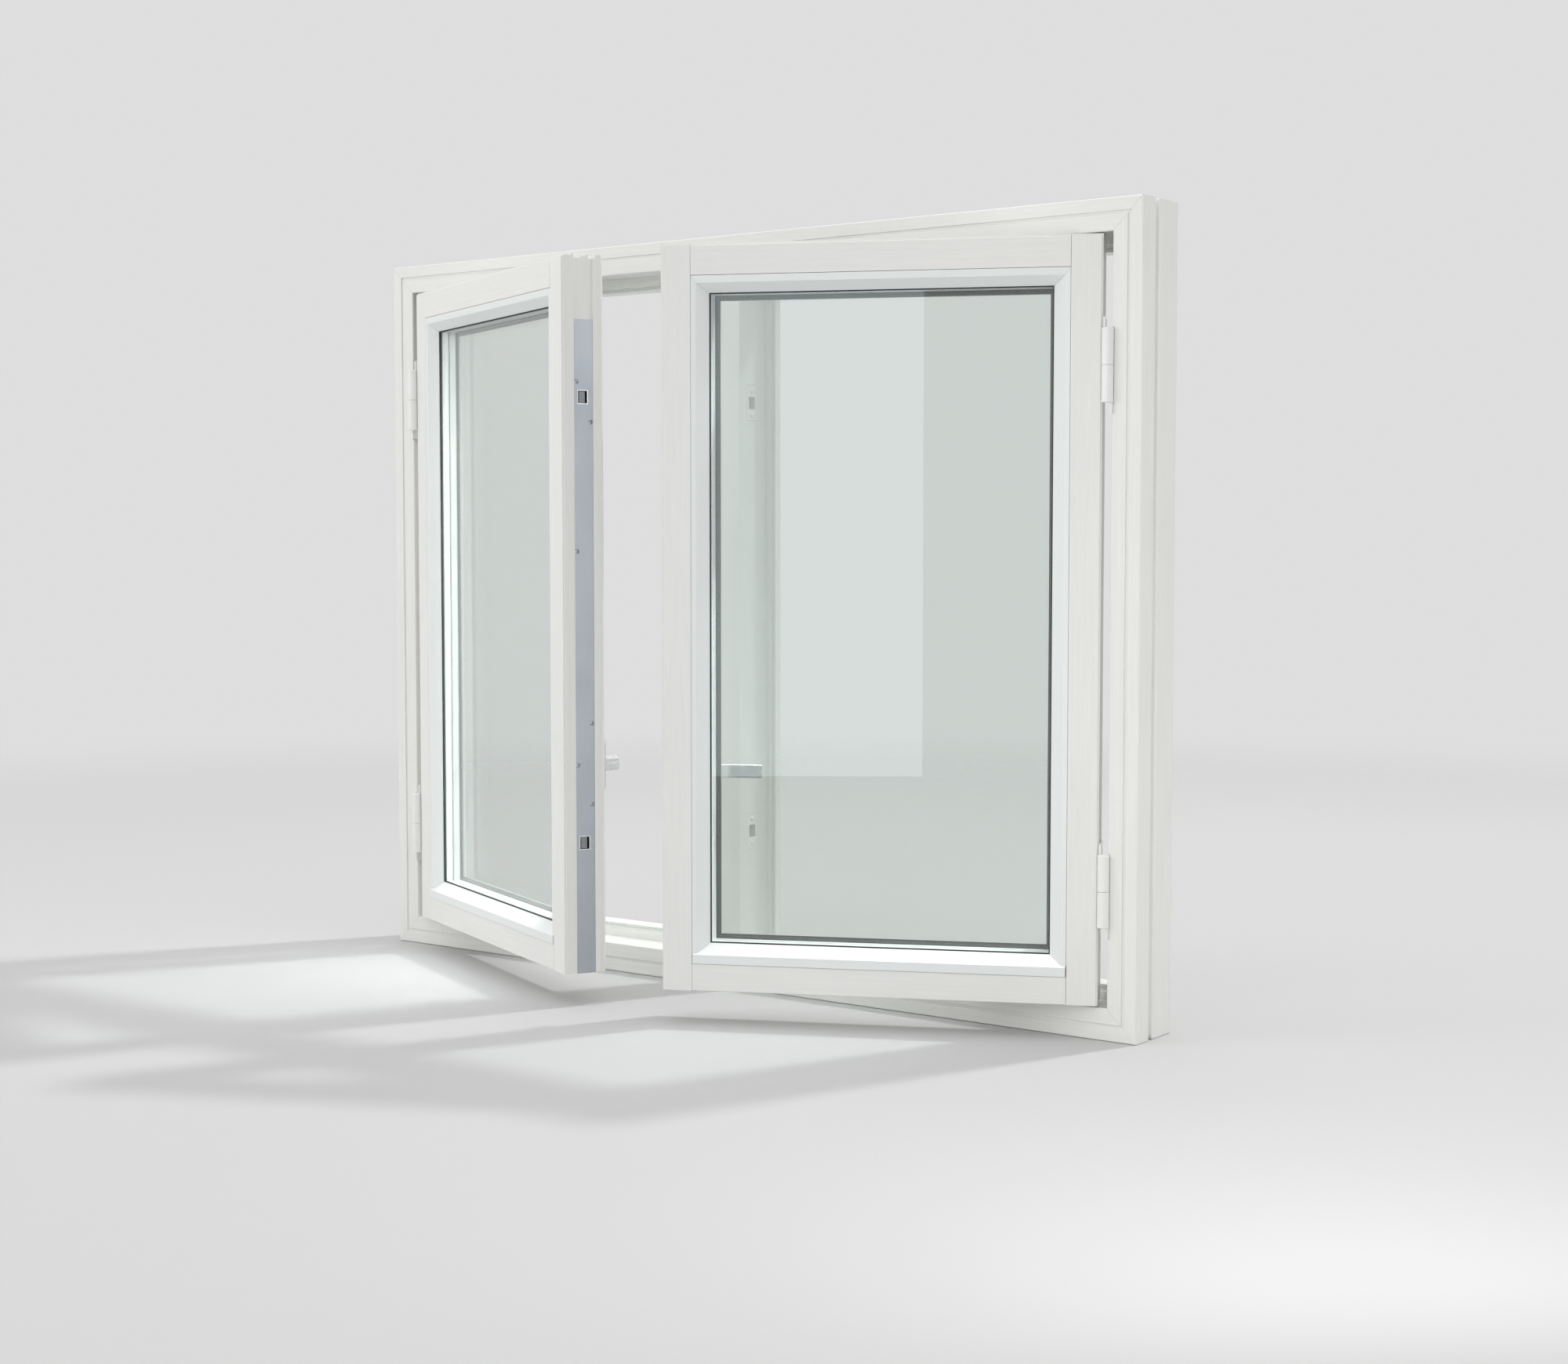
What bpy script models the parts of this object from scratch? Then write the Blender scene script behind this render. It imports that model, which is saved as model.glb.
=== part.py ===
"""Two-light casement window: a mitred timber frame with a mullion and two sashes that open outwards.

Metres, +Z up. X runs along the window as seen from outside, +Y goes into the building, and the
origin is the middle of the sill's underside. Depths are measured from the outside face inwards.
Each sash is shown part open, and is modelled closed under an empty on its hinge axis.
"""

import math

import bmesh
import bpy
from mathutils import Vector

# Frame
FRAME_W = 1.218
FRAME_H = 0.988
FRAME_D = 0.0885
FACE = 0.0385              # outside face, from the outer edge to the opening
REBATE = 0.0365            # rebate wall, from the outer edge
LIP_DEPTH = 0.0040         # how far in the face's lip reaches before the rebate widens
LIP_BEVEL = 0.0020         # depth over which it widens
STOP_STEP = 0.0467         # top of the stop's first step, from the outer edge
STOP = 0.055               # top of the stop, from the outer edge
STEP_DEPTH = 0.0585        # depth of the first step
STOP_DEPTH = 0.060         # depth of the stop's face
SEAL_SLOT = (0.0503, 0.0533)   # kerf for the weatherstrip, from the outer edge
SEAL_SLOT_DEPTH = 0.0045
FACE_GROOVE = (0.0155, 0.0197, 0.0018)   # from, to, deep
SIDE_GROOVE = (0.0330, 0.0410, 0.0050)
TIMBER_EASE = 0.0012       # radius on painted timber edges
JOINT_GAP = 0.0003         # between pieces that touch
OVERCUT = 0.001            # how far a cutter passes the face that it opens
PAST = 0.01                # how far an end cutter passes the piece that it trims

# Mullion, half widths
MULLION_FACE = 0.0263
MULLION_STEP = 0.0333
MULLION_STOP = 0.0403
MULLION_SEAL_SLOT = (0.0353, 0.0383)
MULLION_D = 0.0720

# Sash
SASH_W = 0.5303
SASH_BOTTOM = 0.0410
SASH_TOP = 0.9470
SASH_T = 0.0570
SASH_EDGE = 0.0482         # hinge-side edge of a closed sash, from the frame's outer edge
SASH_FRONT = -0.0007       # front of a closed sash, as a depth
QUIRK = (0.0018, 0.0024)   # small rebate round the sash's front edge: back, deep
MEMBER_FACE = 0.0372       # front face of a stile or rail, up to the bead
BOTTOM_FACE = 0.0330
MEMBER_WEB = 0.0440        # up to the glazing rebate
MEMBER_LIP = 0.0644        # up to the inside sight line
LIP_EDGE = 0.0540          # depth at which the meeting stile's inside corner is taken off
LIP_FRONT = 0.0496         # depth of the inside lip that the glass beds on
REVEAL = (0.0094, 0.0058)  # inside chamfer: across the face, deep
OPEN_ANGLE = math.radians(25.0)

# Top of the sash, as (depth, height over SASH_TOP)
FIN = 0.0020
TOP_PROFILE = (
    (0.0024, 0.0), (0.0130, 0.0), (0.0130, FIN), (0.0163, FIN), (0.0163, -0.0025), (0.0268, -0.0025),
    (0.0268, 0.0), (0.0340, 0.0), (0.0340, FIN), (0.0374, FIN), (0.0374, -0.0030), (0.0458, -0.0030),
    (0.0458, FIN), (0.0535, FIN), (SASH_T, -0.0060),
)

# Glass unit: three panes and two spacers
GLASS_FRONT = 0.0160
PANE_T = 0.0040
CAVITY = 0.0100
GLASS_EDGE = 0.0460        # pane edge, from the sash's outer edge
SPACER_OUTER = 0.0470
SPACER_INNER = 0.0586
BEAD_INNER = 0.0576        # outside sight line
BEAD_STRIP = 0.0066        # flat margin of a side bead
TOP_BEAD_STRIP = 0.0093
BEAD_SUNK = (0.0002, 0.0009)   # front of a bead behind the sash's face: at the member, at its slope
BEAD_BACK = 0.0136
BEAD_LIP = 0.0008          # square edge of a bead at the glass
NOSE = 0.0112              # height of the bottom bead's nose
NOSE_PROUD = 0.0012
NOSE_EASE = 0.0008
NOSE_GROOVE = ((0.0040, 0.0), (0.0032, 0.0012), (0.0010, 0.0012), (0.0006, 0.0))   # depth, rise
BEAD_START = 0.0010        # bottom bead's end, from the stile
GASKET_OUTER = 0.0500
GASKET_INNER = 0.0590

# Hinges
AXIS_EDGE = 0.0423         # hinge axis, from the frame's outer edge
AXIS_DEPTH = -0.0040
BARREL_R = 0.0071
PIN_R = 0.0029
PIN_FIT = 0.0003
BARREL_SIDES = 32
HINGE_HEIGHTS = {"upper": 0.7948, "lower": 0.1783}   # the barrel's seam
BARREL_HALF = 0.0438
CAP_RISE = 0.0022
CAP_PROFILE = ((0.0, 1.0), (0.45, 0.93), (0.8, 0.75), (1.0, 0.45))   # share of rise, of radius
SEAM_GAP = 0.0004          # between the two halves of a barrel
PIN_REACH = (0.0200, 0.0300)   # below and above the seam
LEAF_T = 0.0024
LEAF_H = 0.0560
FRAME_LEAF_D = 0.0340
SASH_LEAF_D = 0.0330
NOTCH_R = BARREL_R + 0.0006
NOTCH_END = 0.0010         # room past a barrel's end

# Espagnolette, on the meeting stile
CHANNEL = (0.0165, 0.0421, 0.0031)   # from depth, to depth, deep
PLATE_T = 0.0024
PLATE_W = 0.0250
PLATE_TOP = 0.8680
LOCK_MID = 0.0281          # depth of the bolts and the gearbox
BOLT_HEIGHTS = {"upper": 0.7710, "lower": 0.2080}
BOLT_WINDOW = (0.0134, 0.0164)
BOLT_SECTION = (0.0118, 0.0144)
BOLT_LENGTH = 0.0240
BOLT_RETRACTED = 0.0022    # bolt's end, back from the stile's edge
BOLT_TAPER = 0.0022
BOLT_ROOM = (0.0008, 0.0012, 0.0020)   # clearance in depth, in height and behind the bolt
SCREWS = (                 # depth and height of each
    (0.0192, 0.7900), (0.0385, 0.7400), (0.0192, 0.5775),
    (0.0385, 0.3600), (0.0192, 0.3070), (0.0385, 0.2570),
)
SCREW_HOLE_R = 0.0030
ROD_DEPTH = (0.0367, 0.0395)
ROD_REACH = (0.0036, 0.0116)
ROD_SPAN = (0.1200, 0.8520)
ROD_SLOT = (0.0205, 0.0405, 0.0126)
ROD_SLOT_SPAN = (0.0800, 0.8620)
BACKSET = 0.0300           # spindle, from the stile's edge
HANDLE_HEIGHT = 0.3045
CASE_HALF_H = 0.0450
CASE_REACH = (0.0042, 0.0400)
CASE_T = 0.0142
SPINDLE = 0.0070
SPINDLE_HOLE_R = 0.0054
SPINDLE_ROOM = 0.0006      # round the spindle's hole, in the stile and the rose
CASE_ROOM = (0.0005, 0.0010)   # clearance in depth, and in height and behind the case
KEEPER = (0.0220, 0.0460, 0.0020)    # across, high, thick
KEEPER_MOUTH = (0.0132, 0.0160)
POCKET_DEPTH = 0.0120

# Handle
ROSE = (0.0280, 0.0650, 0.0080)
ROSE_CORNER = 0.0040
ROSE_EASE = 0.0015
NECK_R = 0.0108
PROJECTION = 0.0280
LEVER_LENGTH = 0.0800
LEVER_H = 0.0170
LEVER_ROOT = 0.0170
LEVER_RISE = 0.0030        # how much thinner the lever's tip is than its root
LEVER_EASE = 0.0028

SIDES = {"left": -1, "right": 1}


def clear_scene():
    for obj in list(bpy.data.objects):
        bpy.data.objects.remove(obj, do_unlink=True)


def material(name, color, roughness, metallic=0.0, transmission=0.0):
    """One material, made once and shared."""
    found = bpy.data.materials.get(name)
    if found:
        return found
    made = bpy.data.materials.new(name)
    made.use_nodes = True
    shader = made.node_tree.nodes["Principled BSDF"]
    shader.inputs["Base Color"].default_value = (*color, 1.0)
    shader.inputs["Roughness"].default_value = roughness
    shader.inputs["Metallic"].default_value = metallic
    shader.inputs["Transmission Weight"].default_value = transmission
    made.diffuse_color = (*color, 1.0)
    return made


def paint():
    return material("white_paint", (0.80, 0.80, 0.77), 0.45)


def hinge_paint():
    return material("hinge_paint", (0.84, 0.84, 0.82), 0.25)


def bead_paint():
    return material("bead_paint", (0.86, 0.88, 0.88), 0.35)


def glass():
    return material("glass", (0.80, 0.90, 0.87), 0.02, transmission=1.0)


def spacer_metal():
    return material("spacer_metal", (0.72, 0.76, 0.77), 0.35, metallic=0.8)


def rubber():
    return material("black_rubber", (0.015, 0.017, 0.017), 0.6)


def plate_steel():
    return material("plate_steel", (0.46, 0.50, 0.55), 0.38, metallic=0.9)


def lock_steel():
    return material("lock_steel", (0.50, 0.50, 0.50), 0.35, metallic=1.0)


def handle_metal():
    return material("handle_metal", (0.62, 0.62, 0.62), 0.28, metallic=1.0)


def finish(name, mesh_data, skin, origin, parent):
    """Links a bmesh to the scene as one named object, with its origin at a chosen point."""
    bmesh.ops.recalc_face_normals(mesh_data, faces=mesh_data.faces)
    bmesh.ops.translate(mesh_data, verts=mesh_data.verts, vec=-Vector(origin))
    mesh = bpy.data.meshes.new(name)
    mesh_data.to_mesh(mesh)
    mesh_data.free()
    obj = bpy.data.objects.new(name, mesh)
    obj.location = origin
    bpy.context.scene.collection.objects.link(obj)
    obj.data.materials.append(skin)
    obj.parent = parent
    return obj


def loft(name, first, last, skin, origin=(0, 0, 0), parent=None):
    """A closed solid between two rings that have the same number of points."""
    bm = bmesh.new()
    low = [bm.verts.new(point) for point in first]
    high = [bm.verts.new(point) for point in last]
    count = len(low)
    for i in range(count):
        j = (i + 1) % count
        bm.faces.new((low[i], low[j], high[j], high[i]))
    bm.faces.new(low)
    bm.faces.new(high)
    return finish(name, bm, skin, origin, parent)


def box(name, xs, ys, zs, skin, origin=(0, 0, 0), parent=None):
    corners = ((0, 0), (1, 0), (1, 1), (0, 1))
    first = [(xs[i], ys[j], zs[0]) for i, j in corners]
    last = [(xs[i], ys[j], zs[1]) for i, j in corners]
    return loft(name, first, last, skin, origin, parent)


def rod(name, centre, axis, span, radius, skin, sides=32, origin=(0, 0, 0), parent=None):
    """A cylinder along an axis (0, 1 or 2); centre holds its other two coordinates, in order."""
    rings = []
    for along in span:
        ring = []
        for i in range(sides):
            turn = 2 * math.pi * i / sides
            point = [centre[0] + radius * math.cos(turn), centre[1] + radius * math.sin(turn)]
            point.insert(axis, along)
            ring.append(point)
        rings.append(ring)
    return loft(name, rings[0], rings[1], skin, origin, parent)


def eased(outline, steps=3):
    """Replaces each corner given as (a, b, radius) by an arc of that radius."""
    points = []
    count = len(outline)
    for i, corner in enumerate(outline):
        here = Vector(corner[:2])
        if len(corner) == 2:
            points.append(tuple(here))
            continue
        back = (Vector(outline[i - 1][:2]) - here).normalized()
        ahead = (Vector(outline[(i + 1) % count][:2]) - here).normalized()
        half = back.angle(ahead) / 2
        centre = here + (back + ahead).normalized() * corner[2] / math.sin(half)
        start = here + back * corner[2] / math.tan(half) - centre
        end = here + ahead * corner[2] / math.tan(half) - centre
        swing = start.angle_signed(end)
        for step in range(steps + 1):
            turn = -swing * step / steps
            x = start.x * math.cos(turn) - start.y * math.sin(turn)
            y = start.x * math.sin(turn) + start.y * math.cos(turn)
            points.append((centre.x + x, centre.y + y))
    return points


def boolean(target, cutter, operation="DIFFERENCE"):
    """Applies one Boolean to the target and hides the shape it used."""
    cutter.hide_render = True
    cutter.display_type = "WIRE"
    modifier = target.modifiers.new(cutter.name, "BOOLEAN")
    modifier.operation = operation
    modifier.solver = "EXACT"
    modifier.object = cutter


def smooth(obj, angle=35.0):
    for face in obj.data.polygons:
        face.use_smooth = True
    obj.data.set_sharp_from_angle(angle=math.radians(angle))


def world_y(depth):
    return depth - FRAME_D / 2


# ---- fixed frame ----

def frame_profile():
    """Section of a frame member, as (distance from the outer edge, depth)."""
    groove_from, groove_to, groove_deep = FACE_GROOVE
    side_from, side_to, side_deep = SIDE_GROOVE
    ease = TIMBER_EASE
    return eased((
        (0, 0, ease), (groove_from, 0, ease / 2), (groove_from, groove_deep), (groove_to, groove_deep),
        (groove_to, 0, ease / 2), (FACE, 0, ease), (FACE, LIP_DEPTH), (REBATE, LIP_DEPTH + LIP_BEVEL),
        (REBATE, STEP_DEPTH), (STOP_STEP, STEP_DEPTH, ease), (STOP_STEP, STOP_DEPTH),
        (SEAL_SLOT[0], STOP_DEPTH), (SEAL_SLOT[0], STOP_DEPTH + SEAL_SLOT_DEPTH),
        (SEAL_SLOT[1], STOP_DEPTH + SEAL_SLOT_DEPTH), (SEAL_SLOT[1], STOP_DEPTH),
        (STOP, STOP_DEPTH, ease / 2), (STOP, FRAME_D, ease), (0, FRAME_D, ease),
        (0, side_to, ease), (side_deep, side_to), (side_deep, side_from), (0, side_from, ease),
    ))


def frame_member(name, side):
    """A mitred member on one side of the frame: head, sill, left or right."""
    first, last = [], []
    for inset, depth in frame_profile():
        half_w = FRAME_W / 2 - inset - JOINT_GAP / 2
        low, high = inset + JOINT_GAP / 2, FRAME_H - inset - JOINT_GAP / 2
        y = world_y(depth)
        if side in ("head", "sill"):
            z = inset if side == "sill" else FRAME_H - inset
            first.append((-half_w, y, z))
            last.append((half_w, y, z))
        else:
            x = SIDES[side] * (FRAME_W / 2 - inset)
            first.append((x, y, low))
            last.append((x, y, high))
    return loft(name, first, last, paint())


def mullion_profile():
    """Right half of the mullion's plan, as (x, depth), from its front to its back."""
    slot = MULLION_SEAL_SLOT
    ease = TIMBER_EASE
    return (
        (MULLION_FACE, 0, ease), (MULLION_FACE, STEP_DEPTH), (MULLION_STEP, STEP_DEPTH, ease),
        (MULLION_STEP, STOP_DEPTH), (slot[0], STOP_DEPTH), (slot[0], STOP_DEPTH + SEAL_SLOT_DEPTH),
        (slot[1], STOP_DEPTH + SEAL_SLOT_DEPTH), (slot[1], STOP_DEPTH),
        (MULLION_STOP, STOP_DEPTH, ease / 2), (MULLION_STOP, MULLION_D, ease),
    )


def member_clearance(low_side):
    """Section of the head or sill with its fitting gap, which the mullion's end is cut back to."""
    gap = JOINT_GAP
    half_w = 2 * MULLION_FACE
    section = (
        (-PAST, -PAST), (FACE + gap, -PAST), (FACE + gap, LIP_DEPTH + gap),
        (REBATE + gap, LIP_DEPTH + LIP_BEVEL + gap), (REBATE + gap, STEP_DEPTH - gap),
        (STOP_STEP + gap, STEP_DEPTH - gap), (STOP_STEP + gap, STOP_DEPTH - gap),
        (STOP + gap, STOP_DEPTH - gap), (STOP + gap, FRAME_D + PAST), (-PAST, FRAME_D + PAST),
    )
    rings = []
    for x in (-half_w, half_w):
        rings.append([(x, world_y(d), a if low_side else FRAME_H - a) for a, d in section])
    name = "cut_mullion_foot" if low_side else "cut_mullion_head"
    return loft(name, rings[0], rings[1], paint())


def mullion():
    right = mullion_profile()
    left = tuple((-point[0], *point[1:]) for point in reversed(right))
    plan = eased(right + left)
    rings = []
    for z in (REBATE - OVERCUT, FRAME_H - REBATE + OVERCUT):
        rings.append([(x, world_y(d), z) for x, d in plan])
    post = loft("mullion", rings[0], rings[1], paint())
    boolean(post, member_clearance(True))
    boolean(post, member_clearance(False))
    for level, z in BOLT_HEIGHTS.items():
        for side, sign in SIDES.items():
            cut_keeper_seat(post, f"{side}_{level}", sign, z)
    return post


def keeper_depth():
    """Middle of the bolts' path when the sash is closed, as a depth in the frame."""
    return SASH_FRONT + LOCK_MID


def keeper_block(name, sign, z, size, reach, skin):
    """A block centred on a bolt's path; reach gives its ends, measured from the mullion's middle."""
    y = world_y(keeper_depth())
    xs = sorted(sign * end for end in reach)
    half_y, half_z = size[0] / 2, size[1] / 2
    return box(name, xs, (y - half_y, y + half_y), (z - half_z, z + half_z), skin)


def cut_keeper_seat(post, label, sign, z):
    """The shallow seat for a keeper, and the pocket behind its mouth."""
    across, high, thick = KEEPER
    face = MULLION_FACE + OVERCUT
    size = (across + 2 * JOINT_GAP, high + 2 * JOINT_GAP)
    reach = (MULLION_FACE - thick - JOINT_GAP, face)
    boolean(post, keeper_block(f"cut_seat_{label}", sign, z, size, reach, paint()))
    reach = (MULLION_FACE - POCKET_DEPTH, face)
    boolean(post, keeper_block(f"cut_pocket_{label}", sign, z, KEEPER_MOUTH, reach, paint()))


def keeper(label, sign, z):
    """Coated strike plate in the mullion's side, with the mouth that a bolt enters."""
    across, high, thick = KEEPER
    inner, outer = MULLION_FACE - thick, MULLION_FACE
    plate = keeper_block(f"keeper_{label}", sign, z, (across, high), (inner, outer), hinge_paint())
    reach = (inner - OVERCUT, outer + OVERCUT)
    boolean(plate, keeper_block(f"cut_mouth_{label}", sign, z, KEEPER_MOUTH, reach, hinge_paint()))


# ---- hinges ----

def axis_x(sign):
    return sign * (FRAME_W / 2 - AXIS_EDGE)


def barrel_half(name, centre, seam_end, cap_end, skin, parent=None):
    """Half of a hinge barrel: flat at the seam, domed at its other end."""
    upwards = 1 if cap_end > seam_end else -1
    levels = [(seam_end, 1.0)]
    for rise, scale in CAP_PROFILE:
        levels.append((cap_end - upwards * CAP_RISE * (1 - rise), scale))
    bm = bmesh.new()
    rings = []
    for z, scale in levels:
        ring = []
        for i in range(BARREL_SIDES):
            turn = 2 * math.pi * i / BARREL_SIDES
            x = centre[0] + BARREL_R * scale * math.cos(turn)
            y = centre[1] + BARREL_R * scale * math.sin(turn)
            ring.append(bm.verts.new((x, y, z)))
        rings.append(ring)
    for below, above in zip(rings, rings[1:]):
        for i in range(BARREL_SIDES):
            j = (i + 1) % BARREL_SIDES
            bm.faces.new((below[i], below[j], above[j], above[i]))
    bm.faces.new(rings[0])
    bm.faces.new(rings[-1])
    return finish(name, bm, skin, (0, 0, 0), parent)


def notch_jamb(jamb, level, sign, seam):
    """Room in the jamb's lip for the barrel and for the leaf that passes behind it."""
    centre = (axis_x(sign), world_y(AXIS_DEPTH))
    span = (seam - BARREL_HALF - NOTCH_END, seam + BARREL_HALF + NOTCH_END)
    boolean(jamb, rod(f"cut_{jamb.name}_{level}_barrel", centre, 2, span, NOTCH_R, paint()))
    xs = sorted(sign * (FRAME_W / 2 - inset) for inset in (REBATE, FACE + OVERCUT))
    ys = (world_y(-OVERCUT), world_y(LIP_DEPTH + LIP_BEVEL + JOINT_GAP))
    boolean(jamb, box(f"cut_{jamb.name}_{level}_leaf", xs, ys, (seam - LEAF_H - JOINT_GAP, seam), paint()))


def hinge_frame_leaf(side, level, seam):
    """Lower half of the barrel with the pin, and the leaf screwed to the jamb's rebate."""
    sign = SIDES[side]
    centre = (axis_x(sign), world_y(AXIS_DEPTH))
    name = f"hinge_{side}_{level}_frame_leaf"
    leaf = barrel_half(name, centre, seam - SEAM_GAP / 2, seam - BARREL_HALF, hinge_paint())
    inset = REBATE + JOINT_GAP
    xs = sorted(sign * (FRAME_W / 2 - a) for a in (inset, inset + LEAF_T))
    plate = box(f"add_{name}_plate", xs, (world_y(AXIS_DEPTH + OVERCUT), world_y(FRAME_LEAF_D)),
                (seam - LEAF_H, seam - SEAM_GAP), hinge_paint())
    span = (seam - PIN_REACH[0], seam + PIN_REACH[1])
    pin = rod(f"add_{name}_pin", centre, 2, span, PIN_R, lock_steel(), 24)
    boolean(leaf, plate, "UNION")
    boolean(leaf, pin, "UNION")
    smooth(leaf)


def hinge_sash_leaf(side, level, seam, parent):
    """Upper half of the barrel, bored for the pin, and the leaf screwed to the sash's edge."""
    sign = SIDES[side]
    name = f"hinge_{side}_{level}_sash_leaf"
    leaf = barrel_half(name, (0, 0), seam + SEAM_GAP / 2, seam + BARREL_HALF, hinge_paint(), parent)
    reach = SASH_EDGE - AXIS_EDGE
    xs = sorted(-sign * a for a in (reach - JOINT_GAP - LEAF_T, reach - JOINT_GAP))
    plate = box(f"add_{name}_plate", xs, (OVERCUT, SASH_LEAF_D - AXIS_DEPTH),
                (seam + SEAM_GAP, seam + LEAF_H), hinge_paint(), parent=parent)
    boolean(leaf, plate, "UNION")
    span = (seam - OVERCUT, seam + PIN_REACH[1] + NOTCH_END)
    bore = rod(f"cut_{name}_bore", (0, 0), 2, span, PIN_R + PIN_FIT, lock_steel(), 24, parent=parent)
    boolean(leaf, bore)
    smooth(leaf)


# ---- sash ----

class Sash:
    """Places sash points, given as distance from the hinge edge, depth in the sash, and height."""

    def __init__(self, side):
        self.side = side
        self.sign = SIDES[side]
        self.axis = bpy.data.objects.new(f"{side}_sash_axis", None)
        self.axis.empty_display_size = 0.05
        self.axis.location = (axis_x(self.sign), world_y(AXIS_DEPTH), 0)
        self.axis.rotation_euler.z = self.sign * OPEN_ANGLE
        bpy.context.scene.collection.objects.link(self.axis)

    def x(self, across):
        return -self.sign * (across + SASH_EDGE - AXIS_EDGE)

    def y(self, depth):
        return depth + SASH_FRONT - AXIS_DEPTH

    def xs(self, first, last):
        return sorted((self.x(first), self.x(last)))

    def ys(self, first, last):
        return (self.y(first), self.y(last))

    def box(self, name, across, depth, height, skin):
        return box(name, self.xs(*across), self.ys(*depth), height, skin, parent=self.axis)

    def upright(self, name, section, foot, head, skin):
        """A vertical piece; foot and head give the end height for each (across, depth)."""
        first = [(self.x(a), self.y(d), foot(a, d)) for a, d in section]
        last = [(self.x(a), self.y(d), head(a, d)) for a, d in section]
        return loft(name, first, last, skin, parent=self.axis)

    def crosswise(self, name, section, start, end, skin):
        """A horizontal piece from a section of (height, depth); start and end give across for each."""
        first = [(self.x(start(z, d)), self.y(d), z) for z, d in section]
        last = [(self.x(end(z, d)), self.y(d), z) for z, d in section]
        return loft(name, first, last, skin, parent=self.axis)


def stile_section(meeting):
    """Section of a stile, with its glazing rebate and inside lip, as (distance from its outer edge, depth)."""
    ease = TIMBER_EASE
    inner = (
        (MEMBER_FACE, 0, ease / 2), (MEMBER_FACE, GLASS_FRONT), (MEMBER_WEB, GLASS_FRONT),
        (MEMBER_WEB, LIP_FRONT), (MEMBER_LIP, LIP_FRONT), (MEMBER_LIP, SASH_T - REVEAL[1]),
        (MEMBER_LIP - REVEAL[0], SASH_T),
    )
    back, deep = QUIRK
    if meeting:
        low, high, sunk = CHANNEL
        outer = (
            (SASH_T - LIP_EDGE, SASH_T), (0, LIP_EDGE), (0, high), (sunk, high), (sunk, low), (0, low),
            (0, deep, ease / 3), (back, deep), (back, 0, ease / 2),
        )
    else:
        outer = ((0, SASH_T, ease), (0, deep, ease / 3), (back, deep), (back, 0, ease / 2))
    return eased(inner + outer)


def top_profile_cutter(sash, label, across):
    """What is cut away above the finned top, over a stile."""
    above = SASH_TOP + PAST
    back_edge = SASH_TOP + TOP_PROFILE[-1][1]
    line = [(SASH_TOP - QUIRK[0], -PAST), (SASH_TOP - QUIRK[0], QUIRK[1])]
    line += [(SASH_TOP + rise, depth) for depth, rise in TOP_PROFILE]
    line += [(back_edge, SASH_T + PAST), (above, SASH_T + PAST), (above, -PAST)]
    start, end = across
    return sash.crosswise(f"cut_{sash.side}_top_{label}", line, lambda z, d: start, lambda z, d: end, paint())


def stile(sash, which):
    meeting = which == "meeting"
    section = stile_section(meeting)
    if meeting:
        section = [(SASH_W - a, d) for a, d in section]
    name = f"{sash.side}_stile_{which}"
    top = SASH_TOP + FIN + OVERCUT
    piece = sash.upright(name, section, lambda a, d: SASH_BOTTOM, lambda a, d: top, paint())
    reach = (-PAST, MEMBER_LIP + PAST)
    if meeting:
        reach = tuple(SASH_W - a for a in reach)
    boolean(piece, top_profile_cutter(sash, which, reach))
    return piece


def cut_rail_end(sash, rail, meeting):
    """Cuts a rail's end back to the stile's section, so that the rail fits over it."""
    gap = JOINT_GAP
    section = (
        (-PAST, -PAST), (MEMBER_FACE + gap, -PAST), (MEMBER_FACE + gap, GLASS_FRONT - gap),
        (MEMBER_WEB + gap, GLASS_FRONT - gap), (MEMBER_WEB + gap, LIP_FRONT - gap),
        (MEMBER_LIP + gap, LIP_FRONT - gap), (MEMBER_LIP + gap, SASH_T - REVEAL[1]),
        (MEMBER_LIP - REVEAL[0] + gap, SASH_T), (MEMBER_LIP - REVEAL[0] + gap, SASH_T + PAST),
        (-PAST, SASH_T + PAST),
    )
    if meeting:
        section = [(SASH_W - a, d) for a, d in section]
    label = f"cut_{rail.name}_{'meeting' if meeting else 'hinge'}"
    boolean(rail, sash.upright(label, section, lambda a, d: 0.0, lambda a, d: FRAME_H, paint()))


def rail(sash, name, section):
    piece = sash.crosswise(name, section, lambda z, d: OVERCUT, lambda z, d: SASH_W - OVERCUT, paint())
    cut_rail_end(sash, piece, False)
    cut_rail_end(sash, piece, True)
    return piece


def rail_top(sash):
    top = SASH_TOP
    back, deep = QUIRK
    ease = TIMBER_EASE / 2
    profile = [(top + rise, depth) for depth, rise in TOP_PROFILE]
    section = eased([
        (top - MEMBER_FACE, 0, ease), (top - back, 0, ease), (top - back, deep), *profile,
        (top - MEMBER_LIP + REVEAL[0], SASH_T), (top - MEMBER_LIP, SASH_T - REVEAL[1]),
        (top - MEMBER_LIP, LIP_FRONT), (top - MEMBER_WEB, LIP_FRONT), (top - MEMBER_WEB, GLASS_FRONT),
        (top - MEMBER_FACE, GLASS_FRONT),
    ])
    return rail(sash, f"{sash.side}_rail_top", section)


def rail_bottom(sash):
    low = SASH_BOTTOM
    ease = TIMBER_EASE
    section = eased([
        (low, 0, ease), (low + BOTTOM_FACE, 0, ease / 2), (low + BOTTOM_FACE, GLASS_FRONT),
        (low + MEMBER_WEB, GLASS_FRONT), (low + MEMBER_WEB, LIP_FRONT), (low + MEMBER_LIP, LIP_FRONT),
        (low + MEMBER_LIP, SASH_T - REVEAL[1]), (low + MEMBER_LIP - REVEAL[0], SASH_T), (low, SASH_T, ease),
    ])
    return rail(sash, f"{sash.side}_rail_bottom", section)


# ---- glazing ----

def nose_base():
    return SASH_BOTTOM + BOTTOM_FACE + JOINT_GAP


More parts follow.
